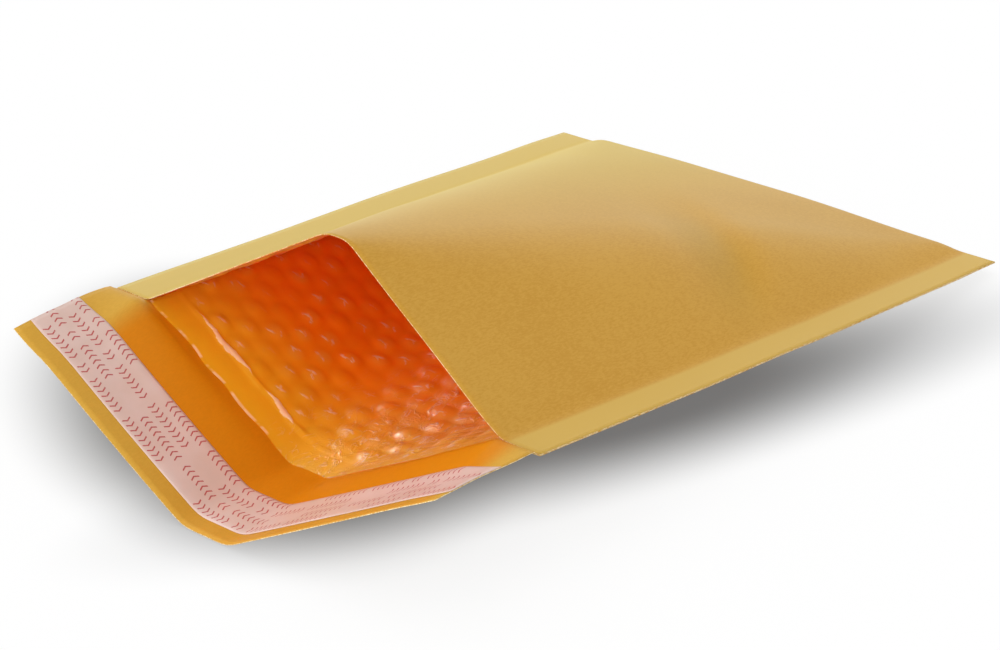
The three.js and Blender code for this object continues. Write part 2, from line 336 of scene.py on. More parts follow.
class Wiring:
    # short ways to add and join shader nodes
    def __init__(self, material):
        self.tree = material.node_tree
        self.paperPlace = self.add("ShaderNodeUVMap", uv_map="paper").outputs[0]

    def add(self, kind, inputs=None, **settings):
        node = self.tree.nodes.new(kind)
        for key, value in settings.items():
            setattr(node, key, value)
        for key, value in (inputs or {}).items():
            self.put(node.inputs[key], value)
        return node

    def put(self, socket, value):
        if isinstance(value, bpy.types.NodeSocket):
            self.tree.links.new(value, socket)
        else:
            socket.default_value = value

    def math(self, operation, a, b=0.0, c=0.0):
        return self.add("ShaderNodeMath", {0: a, 1: b, 2: c}, operation=operation).outputs[0]

    def noise(self, place, scale, detail=3.0, roughness=0.5, distortion=0.0):
        inputs = {"Vector": place, "Scale": scale, "Detail": detail, "Roughness": roughness,
                  "Distortion": distortion}
        return self.add("ShaderNodeTexNoise", inputs).outputs["Fac"]

    def stretched(self, place, x, y, z=1.0):
        return self.add("ShaderNodeMapping", {"Vector": place, "Scale": (x, y, z)}).outputs[0]

    def between(self, value, low, high, newLow=0.0, newHigh=1.0):
        inputs = {"Value": value, "From Min": low, "From Max": high, "To Min": newLow, "To Max": newHigh}
        return self.add("ShaderNodeMapRange", inputs, interpolation_type="SMOOTHSTEP").outputs[0]

    def blend(self, factor, a, b, kind="MIX"):
        node = self.add("ShaderNodeMix", data_type="RGBA", blend_type=kind)
        self.put(node.inputs[0], factor)
        self.put(node.inputs[6], a)
        self.put(node.inputs[7], b)
        return node.outputs[2]

    def bump(self, height, distance, strength):
        inputs = {"Height": height, "Distance": distance, "Strength": strength}
        return self.add("ShaderNodeBump", inputs).outputs[0]

    def split(self, vector):
        return self.add("ShaderNodeSeparateXYZ", {0: vector}).outputs

    def length(self, vector):
        return self.add("ShaderNodeVectorMath", {0: vector}, operation="LENGTH").outputs["Value"]

    def fromEllipse(self, place, x, y, halfLength, halfBreadth, turn):
        # 0 in the middle of a turned ellipse and 1 on its rim; in mm and degrees
        inputs = {"Vector": place, "Location": (x * mm, y * mm, 0), "Rotation": (0, 0, math.radians(turn)),
                  "Scale": (halfLength * mm, halfBreadth * mm, 1)}
        return self.length(self.add("ShaderNodeMapping", inputs, vector_type="TEXTURE").outputs[0])


def linear(r, g, b):
    # a colour picker's 0-255 numbers as the linear colour that a socket takes
    values = [c / 255 for c in (r, g, b)]
    return tuple(c / 12.92 if c <= 0.04045 else ((c + 0.055) / 1.055) ** 2.4 for c in values) + (1.0,)


kraftFinish = {
    "outside": linear(206, 156, 62),
    "outsideDark": linear(198, 146, 51),
    "seam": linear(209, 170, 80),         # the flat seams, lighter and yellower than the panels
    "litFarSide": linear(216, 186, 90),      # painted light: outside, towards the far seam, lighter and yellower where that side catches more light and sheen
    # painted light: the far seam, lighter and yellower for the same reason
    "litFarSeam": linear(217, 187, 102),
    "lip": linear(214, 164, 62),          # inside, along the flap's free edge and its far side
    "flap": linear(218, 132, 10),         # inside, between the mouth and the liner: deeper orange, painted warm bounce light
    "pocket": (0.97, 0.35, 0.008, 1),     # inside the pocket, under the film: deepest orange, partly painted warm bounce light on top of the bounce that renders
    "sheenTint": (0.8, 1.0, 0.6, 1),
    "valley": (160, 119, 58, 21, 36),     # painted shade on the valley: across, along, half length, half breadth in mm, turn in degrees
    "shade": (0.88, 0.89, 0.68, 1),
    "cutEdge": linear(246, 226, 180),
    "fibreDepth": 0.004 * mm,
    "fibreTones": ((0.95, 0.94, 0.9, 1), (1, 1, 1, 1)),      # inside
    "cloudScale": 14,
    "flockScale": 330,
    "fibreScale": 1500,
    "litFarSideReach": (130 * mm, 20 * mm),  # across, where the painted light on the far side starts and where it is full
}


def kraftMaterial(name, roughness):
    # paper with soft clouds, and flocks and fibres that run along the sheet
    material, shader = newMaterial(name)
    w = Wiring(material)
    cloudy = w.noise(w.paperPlace, kraftFinish["cloudScale"], 2, 0.55)
    flocks = w.noise(w.stretched(w.paperPlace, 1.0, 0.6), kraftFinish["flockScale"], 2, 0.65)
    fibres = w.noise(w.stretched(w.paperPlace, 1.0, 0.3), kraftFinish["fibreScale"], 2, 0.7)
    tone = w.math("ADD", w.math("MULTIPLY", cloudy, 0.25), w.math("MULTIPLY", flocks, 0.2))
    tone = w.math("MULTIPLY_ADD", fibres, 0.55, tone)
    shader.inputs["Roughness"].default_value = roughness
    shader.inputs["Specular IOR Level"].default_value = 0.15
    w.put(shader.inputs["Normal"], w.bump(fibres, kraftFinish["fibreDepth"], 0.6))
    return material, shader, w, w.between(tone, 0.4, 0.6)


def outsideMaterial():
    material, shader, w, tone = kraftMaterial("kraftOutside", 0.5)
    colour = w.blend(tone, kraftFinish["outsideDark"], kraftFinish["outside"])
    across = w.split(w.paperPlace)[0]
    # painted light: the front panel and its seam are drawn lighter and yellower towards the far seam, where
    # they catch more light
    onLitFarSide = w.between(across, *kraftFinish["litFarSideReach"], 0.0, 0.8)
    colour = w.blend(onLitFarSide, colour, kraftFinish["litFarSide"])
    # painted shade: the valley pressed into the front panel is drawn darker on one side, where it takes
    # less light
    u, v, halfLength, halfBreadth, turn = kraftFinish["valley"]
    away = w.fromEllipse(w.paperPlace, u, -v, halfLength, halfBreadth, -turn)
    colour = w.blend(w.between(away, 1.0, 0.1, 0.0, 0.9), colour, kraftFinish["shade"], "MULTIPLY")
    fromMiddle = w.math("ABSOLUTE", w.math("SUBTRACT", across, width / 2))
    onSeam = w.between(fromMiddle, width / 2 - seamWidth - 1.5 * mm, width / 2 - seamWidth + 1 * mm)
    seam = w.blend(onLitFarSide, kraftFinish["seam"], kraftFinish["litFarSeam"])
    w.put(shader.inputs["Base Color"], w.blend(onSeam, colour, seam))
    shader.inputs["Sheen Weight"].default_value = 0.15
    shader.inputs["Sheen Roughness"].default_value = 0.4
    shader.inputs["Sheen Tint"].default_value = kraftFinish["sheenTint"]
    return material


def insideMaterial():
    # painted light: the inside is paler along the flap's edges and deepens to orange towards and under the
    # film, standing in for the warm light that the paper throws back and forth inside the pocket
    material, shader, w, tone = kraftMaterial("kraftInside", 0.45)
    across, along = w.split(w.paperPlace)[:2]
    onBack = w.math("ABSOLUTE", along)
    toLip = w.between(onBack, bodyLength + 20 * mm, flapEnd - 4 * mm)
    toLip = w.math("MULTIPLY", toLip, w.between(across, 50 * mm, 140 * mm, 1.0, 0.6))
    litFarSide = w.between(across, seamWidth + 11 * mm, seamWidth)
    nearSide = w.between(across, width - seamWidth, width - 3 * mm)
    pale = w.math("MAXIMUM", toLip, w.math("MAXIMUM", litFarSide, nearSide))
    flap = w.blend(pale, kraftFinish["flap"], kraftFinish["lip"])
    inPocket = w.between(onBack, bodyLength + 4 * mm, bodyLength - 14 * mm)
    colour = w.blend(inPocket, flap, kraftFinish["pocket"])
    shade = w.blend(tone, *kraftFinish["fibreTones"])
    w.put(shader.inputs["Base Color"], w.blend(1.0, colour, shade, "MULTIPLY"))
    return material


def edgeMaterial():
    material, shader, w, tone = kraftMaterial("kraftEdge", 0.8)
    w.put(shader.inputs["Base Color"], w.blend(tone, kraftFinish["outside"], kraftFinish["cutEdge"]))
    return material


# the kraft sheet: front panel, bottom fold, back panel and flap in one
sheetGrid = {
    "acrossStep": 2.4 * mm,
    "alongStep": 2.6 * mm,
    "noseShares": (0, 0.03, 0.1, 0.22, 0.4, 0.65, 1),        # rows round the bottom fold
    "thickness": paper * 0.93,
}


def closeTo(place, reach, count):
    # extra grid lines round a crease
    return [place + reach * (i / count - 0.5) for i in range(count + 1)]


def buildKraft():
    half = width / 2
    seamMarks = [0, seamWidth - 1.5 * mm, *closeTo(seamWidth + 1 * mm, 3 * mm, 3), seamWidth + 6 * mm]
    marks = sorted(set(seamMarks + [half] + [width - m for m in seamMarks]))
    across = spread(marks, sheetGrid["acrossStep"])
    noseRows = [noseLength * t for t in sheetGrid["noseShares"]]
    bodyRows = spread([noseLength, bodyLength], sheetGrid["alongStep"])[1:]
    flapRows = spread([bodyLength, bodyLength + 4 * mm, flapEnd], sheetGrid["alongStep"])[1:]
    frontAlongs = np.concatenate([noseRows, bodyRows])
    backAlongs = np.concatenate([noseRows, bodyRows, flapRows])
    front = panelSurface(frontPanel, frontAlongs, across)
    back = panelSurface(backPanel, backAlongs, across)
    points = np.concatenate([front[:0:-1], back])
    places = np.concatenate([-frontAlongs[:0:-1], backAlongs])
    piece = gridMesh("kraft_sheet", points, across, places)
    for material in (outsideMaterial(), insideMaterial(), edgeMaterial()):
        piece.data.materials.append(material)
    thick = piece.modifiers.new("paper thickness", "SOLIDIFY")
    thick.thickness = sheetGrid["thickness"]
    thick.offset = -1
    thick.use_even_offset = True
    thick.use_quality_normals = True
    thick.material_offset = 1
    thick.material_offset_rim = 2
    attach(piece, "root")
    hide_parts("kraft_envelope")
    return piece


kraftSheet = buildKraft()
print("kraft sheet made:", len(kraftSheet.data.polygons), "faces")


bubbles = {
    "pitch": 11.5 * mm,
    "radius": 5.2 * mm,
    "height": 1.0 * mm,
    "gridStep": 1.2 * mm,
    "filmDepth": 0.4 * mm,        # below the paper's outer face
    "plainEdge": 15 * mm,         # welded margin at the mouth, without bubbles
    "creaseHeight": 1.0 * mm,     # of the fold in the film along that margin
    "creaseWidth": 1.8 * mm,
    "creaseWobble": 0.5 * mm,
    "creaseWobbleLength": 19 * mm,
    "sideInset": 3 * mm,
    "foldInset": 1.0 * mm,
    "mouthInset": 0.3 * mm,
    "edgeWaver": 1.5 * mm,
}
filmFinish = {
    "clear": (0.86, 0.55, 0.025, 1),
    "deep": (0.98, 0.34, 0.004, 1),       # further in: painted shade, deeper red inside the pocket
    # painted sheen: the pale reflection that loose film shows at a grazing angle
    "hazy": linear(246, 224, 104),
    "glint": (1, 0.95, 0.76, 1),
    "edge": linear(255, 236, 200),
    "opacity": 0.55,
    "deepening": (262 * mm, 215 * mm),    # along, where the painted shade turns the colour from clear to deep
    "looseAcross": (70 * mm, 140 * mm),   # film that is loose, and so crinkled, with painted sheen and glints
    "looseAlong": (165 * mm, 235 * mm),
    "marksAlong": (150 * mm, 215 * mm),   # where the marks on the bubbles start to show
    "bendScale": 260,
    "fineScale": 900,
    "crinkleScale": 210,
    "patchScale": 70,
    "crinkleGlintScale": 160,
    "dashScale": 150,
    "domeSheen": (4.6 * mm, 1.2 * mm, 0.3),    # painted sheen on each bubble: outer and inner radius, strength
    "tickLength": 2.6 * mm,
    "tickBreadth": 0.85 * mm,
    "tickSlants": (0.35, -0.55),
    "tickShares": (1.0, 0.6),             # of the tick's length
    "tickWobble": 3.2 * mm,
    "scatter": 4.5 * mm,          # of the ticks round the middles of the bubbles
    "streaks": [(23 * mm, 61 * mm), (64 * mm, 84 * mm)],     # parts of the crease with painted glints, across
    "streakBreadth": 1.6 * mm,
    "streakWobble": 2.6 * mm,
    "edgeBand": (2.0 * mm, 1.2 * mm),     # painted highlight: pale dashes along the cut edge, from the mouth
    "relief": 0.25 * mm,
}
rowPitch = bubbles["pitch"] * math.sqrt(3) / 2
creaseLine = bodyLength - bubbles["mouthInset"] - bubbles["plainEdge"]


def bubbleCell(w, across, along):
    # how far a place lies from the middle of its bubble, and a chance number and colour for each bubble
    row = w.math("ROUND", w.math("DIVIDE", along, rowPitch))
    shift = w.math("MULTIPLY", w.math("FLOORED_MODULO", row, 2.0), -bubbles["pitch"] / 2)
    shifted = w.math("ADD", across, shift)
    column = w.math("ROUND", w.math("DIVIDE", shifted, bubbles["pitch"]))
    aside = w.math("MULTIPLY_ADD", column, -bubbles["pitch"], shifted)
    ahead = w.math("MULTIPLY_ADD", row, -rowPitch, along)
    cell = w.add("ShaderNodeCombineXYZ", {0: row, 1: column}).outputs[0]
    chance = w.add("ShaderNodeTexWhiteNoise", {"Vector": cell}, noise_dimensions="3D")
    return aside, ahead, chance.outputs["Value"], chance.outputs["Color"]


def paintedBubbleGlints(w, across, along, bend, fine):
    # painted highlights: a pale sheen and up to two white glint ticks on each bubble
    aside, ahead, chance, spot = bubbleCell(w, across, along)
    spots = w.add("ShaderNodeSeparateColor", {0: spot}).outputs
    onBubbles = w.between(along, creaseLine + 1 * mm, creaseLine - 3 * mm)
    seen = w.math("MULTIPLY", w.between(along, *filmFinish["marksAlong"]), onBubbles)
    lively = w.math("MULTIPLY", w.between(chance, 0.1, 0.8), seen)
    away = w.length(w.add("ShaderNodeCombineXYZ", {0: aside, 1: ahead}).outputs[0])
    outer, inner, strength = filmFinish["domeSheen"]
    domeSheen = w.math("MULTIPLY", w.between(away, outer, inner, 0.0, strength), lively)
    glintTicks = []
    for i, (slant, share) in enumerate(zip(filmFinish["tickSlants"], filmFinish["tickShares"])):
        offset = w.math("MULTIPLY", w.math("SUBTRACT", spots[i], 0.5), filmFinish["scatter"])
        rise = w.math("MULTIPLY", w.math("SUBTRACT", spots[i + 1], 0.5), filmFinish["scatter"])
        long = w.math("ABSOLUTE", w.math("ADD", aside, offset))
        short = w.math("ADD", w.math("MULTIPLY_ADD", bend, filmFinish["tickWobble"], ahead), rise)
        short = w.math("ABSOLUTE", w.math("MULTIPLY_ADD", aside, slant, short))
        inLength = w.between(long, filmFinish["tickLength"] * share, 0.5 * mm)
        inBreadth = w.between(short, filmFinish["tickBreadth"], 0.2 * mm)
        glintTicks.append(w.math("MULTIPLY", inLength, inBreadth))
    # the second tick is weaker on some bubbles
    marks = w.math("MAXIMUM", glintTicks[0], w.math("MULTIPLY", glintTicks[1], spots[0]))
    broken = w.between(fine, 0.38, 0.5, 0.2, 1.0)
    return domeSheen, w.math("MULTIPLY", w.math("MULTIPLY", marks, lively), broken)


def paintedCreaseGlints(w, across, along, bend):
    # painted highlights: long white glints along the fold of the welded margin
    wobble = w.math("SINE", w.math("MULTIPLY", across, 2 * math.pi / bubbles["creaseWobbleLength"]))
    offCrease = w.math("SUBTRACT", along, creaseLine)
    offCrease = w.math("MULTIPLY_ADD", wobble, -bubbles["creaseWobble"], offCrease)
    offCrease = w.math("ABSOLUTE", w.math("MULTIPLY_ADD", bend, filmFinish["streakWobble"], offCrease))
    streaks = 0.0
    for start, end in filmFinish["streaks"]:
        widest = mix(start, end, 0.65)
        run = w.math("MULTIPLY", w.between(across, start, widest), w.between(across, end, widest))
        outside = w.math("MULTIPLY_ADD", run, -filmFinish["streakBreadth"], offCrease)
        streak = w.math("MULTIPLY", w.between(outside, 0.1 * mm, -0.4 * mm), w.between(run, 0.0, 0.1))
        streaks = w.math("MAXIMUM", streaks, streak)
    return streaks


def filmMaterial():
    material, shader = newMaterial("bubbleFilm")
    w = Wiring(material)
    place = w.paperPlace
    split = w.split(place)
    across, along = split[0], w.math("ABSOLUTE", split[1])
    bend = w.math("SUBTRACT", w.noise(place, filmFinish["bendScale"], 2), 0.5)
    fine = w.noise(w.stretched(place, 0.35, 1.0), filmFinish["fineScale"], 2, 0.5, 0.5)

    # loose film near the right seam and the mouth is crinkled, and has painted sheen and painted glints on
    # its crinkles
    looseAcross = w.between(across, *filmFinish["looseAcross"])
    loose = w.math("MULTIPLY", looseAcross, w.between(along, *filmFinish["looseAlong"]))
    crinkles = w.noise(w.stretched(place, 1.0, 0.4), filmFinish["crinkleScale"], 3, 0.6, 1.2)
    crinkles = w.math("ABSOLUTE", w.math("SUBTRACT", crinkles, 0.5))
    ridges = w.math("MULTIPLY", w.between(crinkles, 0.08, 0.0), w.math("MULTIPLY_ADD", loose, 0.9, 0.1))
    patches = w.noise(w.stretched(place, 1.0, 0.5), filmFinish["patchScale"], 3, 0.6)
    paintedSheen = w.math("MULTIPLY", loose, w.math("MULTIPLY_ADD", w.between(patches, 0.35, 0.65), 0.5, 0.28))
    # painted glints: white marks on the crinkles of the loose film
    crinkleGlints = w.math("MULTIPLY", w.between(crinkles, 0.035, 0.005), loose)
    here = w.between(w.noise(place, filmFinish["crinkleGlintScale"], 2), 0.46, 0.6)
    crinkleGlints = w.math("MULTIPLY", crinkleGlints, here)

    domeSheen, marks = paintedBubbleGlints(w, across, along, bend, fine)
    marks = w.math("MAXIMUM", marks, crinkleGlints)
    marks = w.math("MAXIMUM", marks, paintedCreaseGlints(w, across, along, bend))

    edgeStart, edgeFull = filmFinish["edgeBand"]
    atEdge = w.between(along, bodyLength - edgeStart, bodyLength - edgeFull)
    dashes = w.noise(w.stretched(place, 1.0, 0.2), filmFinish["dashScale"], 2, 0.5)
    dashes = w.math("MULTIPLY", atEdge, w.between(dashes, 0.44, 0.58))
    # painted shade: the film turns deeper red further into the pocket
    deepening = w.between(along, *filmFinish["deepening"])
    colour = w.blend(deepening, filmFinish["clear"], filmFinish["deep"])
    colour = w.blend(w.math("MAXIMUM", paintedSheen, domeSheen), colour, filmFinish["hazy"])
    colour = w.blend(dashes, colour, filmFinish["edge"])
    # painted highlights: the bubble, crinkle and crease glints take the glint colour
    w.put(shader.inputs["Base Color"], w.blend(marks, colour, filmFinish["glint"]))
    shader.inputs["Alpha"].default_value = filmFinish["opacity"]
    shader.inputs["Roughness"].default_value = 0.3
    shader.inputs["Specular IOR Level"].default_value = 0.03
    shader.inputs["Coat Weight"].default_value = 0.14
    shader.inputs["Coat Roughness"].default_value = 0.05
    relief = w.math("ADD", w.math("ADD", ridges, marks), w.math("MULTIPLY", fine, 0.25))
    uneven = w.bump(relief, filmFinish["relief"], 0.8)
    w.put(shader.inputs["Normal"], uneven)
    w.put(shader.inputs["Coat Normal"], uneven)
    return material


def bubbleHeights(across, alongs, seed):
    # how far every grid place stands up into a bubble, from 0 to 1
    u, v = np.meshgrid(across, alongs)
    pitch, radius = bubbles["pitch"], bubbles["radius"]
    heights = np.zeros_like(u)
    nearestRow = np.round(v / rowPitch)
    for rowShift in (-1, 0, 1):
        row = nearestRow + rowShift
        offset = np.where(row % 2 == 0, 0.0, pitch / 2)
        column = np.round((u - offset) / pitch)
        away = np.hypot(u - offset - column * pitch, v - row * rowPitch) / radius
        fullness = 0.68 + 0.32 * np.sin(row * 12.9898 + column * 78.233 + seed)
        dome = (1 - np.clip(away, 0, 1) ** 2) ** 1.15 * fullness
        heights = np.maximum(heights, dome)
    return heights


def creaseHeights(across, alongs, panel):
    # the fold in the film along the welded margin, stronger over the left half
    heights = np.zeros((len(alongs), len(across)))
    if panel is frontPanel:
        return heights
    for j, u in enumerate(across):
        onStrong = smooth((u - 22 * mm) / (6 * mm)) * (1 - smooth((u - 84 * mm) / (14 * mm)))
        strength = 0.25 + 0.75 * float(onStrong)
        strength *= 0.75 + 0.5 * softNoise(u / (14 * mm), 0, 4)
        shift = bubbles["creaseWobble"] * math.sin(2 * math.pi * u / bubbles["creaseWobbleLength"])
        away = np.abs(alongs - creaseLine - shift) / bubbles["creaseWidth"]
        heights[:, j] = (1 - np.clip(away, 0, 1) ** 2) ** 1.5 * strength * bubbles["creaseHeight"]
    return heights


def waverEdge(points, across, alongs):
    # the film's cut edge at the mouth isn't quite straight
    for j, u in enumerate(across):
        back = bubbles["edgeWaver"] * (0.5 + softNoise(u / (13 * mm), 0, 8))
        shifted = alongs - back * smooth((alongs - creaseLine) / (alongs[-1] - creaseLine))
        for axis in range(3):
            points[:, j, axis] = np.interp(shifted, alongs, points[:, j, axis])


def buildLining():
    inset = seamWidth + bubbles["sideInset"]
    end = bodyLength - bubbles["mouthInset"]
    across = spread([inset, width - inset], bubbles["gridStep"])
    alongs = spread([bubbles["foldInset"], noseLength, end], bubbles["gridStep"])
    front = panelSurface(frontPanel, alongs, across)
    back = panelSurface(backPanel, alongs, across)
    # bubbles are lower where the panels close in on each other
    room = (front[:, :, 2] - back[:, :, 2]) / 2 - paper
    bubbly = 1 - smooth((alongs - (end - bubbles["plainEdge"])) / (2 * mm))
    spare = np.maximum(room - bubbles["filmDepth"] - 0.1 * mm, 0)
    lift = np.minimum(bubbles["height"], spare * 0.9)
    base = np.minimum(bubbles["filmDepth"], room * 0.8)
    plies = []
    for panel, points, seed in ((frontPanel, front, 2.0), (backPanel, back, 0.5)):
        domes = bubbleHeights(across, alongs, seed)
        depth = base + domes * lift * bubbly[:, None] + creaseHeights(across, alongs, panel)
        ply = points + inwardNormals(points, panel) * depth[:, :, None]
        waverEdge(ply, across, alongs)
        plies.append(ply)
    points = np.concatenate([plies[0][::-1], plies[1]])
    places = np.concatenate([-alongs[::-1], alongs])
    piece = gridMesh("bubble_film", points, across, places)
    piece.data.materials.append(filmMaterial())
    piece.data.flip_normals()
    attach(piece, "root")
    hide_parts("front_lining", "back_lining")
    return piece


bubbleFilmPiece = buildLining()
print("bubble film made:", len(bubbleFilmPiece.data.polygons), "faces")


closure = {
    "linerWidth": 23 * mm,
    "linerToFlapEdge": 7.5 * mm,
    "adhesiveLongInset": 1.5 * mm,
    "adhesiveEndInset": 2 * mm,
    "clearance": 0.1 * mm,
    "adhesive": 0.15 * mm,        # thicknesses
    "liner": 0.1 * mm,
    "linerEdgeRaise": 0.15,       # share of the adhesive's rise that the liner keeps at its edges
    "gridStep": 2.0 * mm,
}
linerPrint = {
    "paper": linear(226, 196, 186),
    "paperDark": linear(219, 187, 174),
    "ink": linear(184, 66, 66),
    "rowPitch": 5.9 * mm,
    "firstRow": 1.1 * mm,         # from the liner's outer edge
    "markHeight": 3.6 * mm,
    "markPitch": 2.35 * mm,
    "stroke": 0.6 * mm,
    "slant": 0.5,
    "groupPitch": 84 * mm,
    "groupStart": (-5 * mm, 118 * mm),
    # the marks stand in groups with gaps between them: share of the group, and 1 for marks or 0 for a gap
    "groups": [
        (0.0, 1), (0.189, 0), (0.221, 1), (0.284, 0),
        (0.316, 1), (0.505, 0), (0.536, 1), (0.789, 0),
    ],
    "inkScale": 1500,
    "blushScale": 60,
    "waveScale": 90,
    "waveDepth": 0.15 * mm,
}
adhesiveFinish = {
    "colours": (linear(226, 206, 160), linear(238, 224, 190)),
    "beadScale": 320,
    "beadDepth": 0.12 * mm,
}


def linerMarks(w, across, along):
    # rows of chevrons, every second row running the other way
    linerEnd = flapEnd - closure["linerToFlapEdge"]
    linePitch, markPitch, markHeight = (linerPrint[key] for key in ("rowPitch", "markPitch", "markHeight"))
    firstRow = linerEnd - linerPrint["firstRow"] + (linePitch - markHeight) / 2
    rowPlace = w.math("DIVIDE", w.math("SUBTRACT", firstRow, along), linePitch)
    inRow = w.math("MULTIPLY", w.math("SUBTRACT", w.math("FRACT", rowPlace), 0.5), linePitch)
    isOdd = w.math("FLOORED_MODULO", w.math("FLOOR", rowPlace), 2.0)
    direction = w.math("MULTIPLY_ADD", isOdd, -2.0, 1.0)
    evenStart, oddStart = linerPrint["groupStart"]
    start = w.math("MULTIPLY_ADD", isOdd, oddStart - evenStart, evenStart)
    run = w.math("ADD", w.math("MULTIPLY", across, direction), start)
    inGroup = w.math("FRACT", w.math("DIVIDE", run, linerPrint["groupPitch"]))
    groups = w.add("ShaderNodeValToRGB", {0: inGroup})
    ramp = groups.color_ramp
    ramp.interpolation = "CONSTANT"
    while len(ramp.elements) < len(linerPrint["groups"]):
        ramp.elements.new(0.5)
    for element, (place, value) in zip(ramp.elements, linerPrint["groups"]):
        element.position = place
        element.color = (value, value, value, 1)
    fromGroup = w.math("MULTIPLY", inGroup, linerPrint["groupPitch"])
    cellPlace = w.math("FRACT", w.math("DIVIDE", fromGroup, markPitch))
    inCell = w.math("MULTIPLY", w.math("SUBTRACT", cellPlace, 0.5), markPitch)
    slant = linerPrint["slant"]
    tip = w.math("MULTIPLY_ADD", w.math("ABSOLUTE", inRow), -slant, slant * markHeight / 4)
    away = w.math("ABSOLUTE", w.math("SUBTRACT", inCell, tip))
    stroke = w.math("LESS_THAN", away, linerPrint["stroke"] / 2)
    inHeight = w.math("LESS_THAN", w.math("ABSOLUTE", inRow), markHeight / 2)
    return w.math("MULTIPLY", w.math("MULTIPLY", stroke, inHeight), groups.outputs[0])


def linerMaterial():
    material, shader = newMaterial("releaseLiner")
    w = Wiring(material)
    marks = linerMarks(w, *w.split(w.paperPlace)[:2])
    patchy = w.between(w.noise(w.paperPlace, linerPrint["inkScale"], 2, 0.6), 0.25, 0.5, 0.55, 0.95)
    blush = w.between(w.noise(w.paperPlace, linerPrint["blushScale"], 3, 0.5), 0.3, 0.7)
    base = w.blend(blush, linerPrint["paper"], linerPrint["paperDark"])
    ink = w.math("MULTIPLY", marks, patchy)
    w.put(shader.inputs["Base Color"], w.blend(ink, base, linerPrint["ink"]))
    shader.inputs["Roughness"].default_value = 0.42
    shader.inputs["Coat Weight"].default_value = 0.25
    shader.inputs["Coat Roughness"].default_value = 0.25
    waves = w.noise(w.paperPlace, linerPrint["waveScale"], 3, 0.5)
    w.put(shader.inputs["Normal"], w.bump(waves, linerPrint["waveDepth"], 0.5))
    return material


def adhesiveMaterial():
    material, shader = newMaterial("adhesive")
    w = Wiring(material)
    beads = w.noise(w.stretched(w.paperPlace, 1.0, 3.0), adhesiveFinish["beadScale"], 3, 0.6)
    colour = w.blend(w.between(beads, 0.35, 0.65), *adhesiveFinish["colours"])
    w.put(shader.inputs["Base Color"], colour)
    shader.inputs["Roughness"].default_value = 0.22
    shader.inputs["Coat Weight"].default_value = 0.6
    shader.inputs["Coat Roughness"].default_value = 0.12
    w.put(shader.inputs["Normal"], w.bump(beads, adhesiveFinish["beadDepth"], 0.8))
    return material


def buildBand(name, firstAcross, firstAlong, lastAlong, depth, thickness, edgeRaise, material):
    # a strip on the flap, that deep under the paper's outer face; edgeRaise 1 keeps its edges level
    step = closure["gridStep"]
    across = spread([firstAcross, width / 2, width - firstAcross], step)
    bend = closure["adhesiveLongInset"]
    marks = [firstAlong + bend * share for share in (0, 0.5, 1)]
    marks += [lastAlong - bend * share for share in (1, 0.5, 0)]
    alongs = spread(marks, step)
    padded = np.concatenate([[alongs[0] - 1 * mm], alongs, [alongs[-1] + 1 * mm]])
    outer = panelSurface(backPanel, padded, across)
    # the band lies lower along its edges and at its ends, where there is no adhesive under it
    edgeDistance = np.minimum(padded - alongs[0], alongs[-1] - padded)
    endDistance = np.minimum(across - across[0], across[-1] - across)
    alongFactor = smooth(edgeDistance / closure["adhesiveLongInset"])
    endFactor = smooth(endDistance / closure["adhesiveEndInset"])
    lifted = mix(edgeRaise, 1, alongFactor[:, None] * endFactor[None, :])
    raised = thickness + paper + (depth - paper) * lifted
    points = (outer + inwardNormals(outer, backPanel) * raised[:, :, None])[1:-1]
    piece = gridMesh(name, points, across, alongs)
    piece.data.materials.append(material)
    thick = piece.modifiers.new("thickness", "SOLIDIFY")
    thick.thickness = thickness
    thick.offset = -1
    if piece.data.polygons[0].normal.z < 0:
        piece.data.flip_normals()
    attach(piece, "root")
    return piece


def buildClosure():
    end = flapEnd - closure["linerToFlapEdge"]
    start = end - closure["linerWidth"]
    inset = closure["adhesiveLongInset"]
    depth = paper + closure["clearance"]
    strip = buildBand("adhesive_band", closure["adhesiveEndInset"], start + inset, end - inset,
                      depth, closure["adhesive"], 1, adhesiveMaterial())
    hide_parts("adhesive_strip")
    depth += closure["adhesive"] + closure["clearance"]
    tape = buildBand("liner_tape", 0, start, end, depth, closure["liner"], closure["linerEdgeRaise"],
                     linerMaterial())
    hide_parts("release_liner")


buildClosure()
print("closure made")


studio = {
    "floorSize": 6.0,
    "floorDrop": 0.4 * mm,
    "floorColour": 0.7,
    "floorLit": 0.95,             # its colour as the camera sees it, so that it is white further out
    "floorGlow": 0.94,            # share of that white that only the contact shade and the painted shadow below dim
    "closeReach": 0.05,           # contact shade
    "closeShade": 0.9,
    "shade": [                    # painted shadow: x, y, half length, half breadth in mm, turn in degrees, core, darkest
        (54, -16, 59, 220, -23.9, 0.21, 0.19),
        (-54, -88, 134, 93, -21.8, 0.43, 0.15),
    ],
    "skyTop": 0.38,
    "skyEdge": 1.5,
    "skyFade": 0.8,               # height of the gradient's end, up to 1
    "lamps": [                    # name, azimuth, elevation, strength, softness; angles in degrees
        ("key", 285, 66, 1.05, 50),
        ("mouthFill", 345, 24, 1.1, 50),
    ],
    "glints": [                   # small lamps for the shine of the film only
        ("glintTop", 83, 75, 9.0, 3),
        ("glintBack", 243, 28, 7.0, 3),
        ("glintLeft", 300, 50, 9.0, 3),
    ],
    "pocketFill": ("pocketFill", 70, 35, 2.5, 90),           # for the film only, as the lamps above
    "pocketFillColour": (1.0, 0.55, 0.2),
}
view = {
    "azimuth": 39.127,            # degrees, from straight in front of the mouth towards the right side
    "elevation": 27.664,
    "roll": -0.777,
    "distance": 0.930917,
    "target": (-0.019815, 0.010656, 0.0),
    "sensor": 36,
    "focalShare": 2.44299,        # of the sensor's width
}


def placeFromAngles(azimuth, elevation):
    a, e = math.radians(azimuth), math.radians(elevation)
    return Vector((math.sin(a) * math.cos(e), -math.cos(a) * math.cos(e), math.sin(e)))


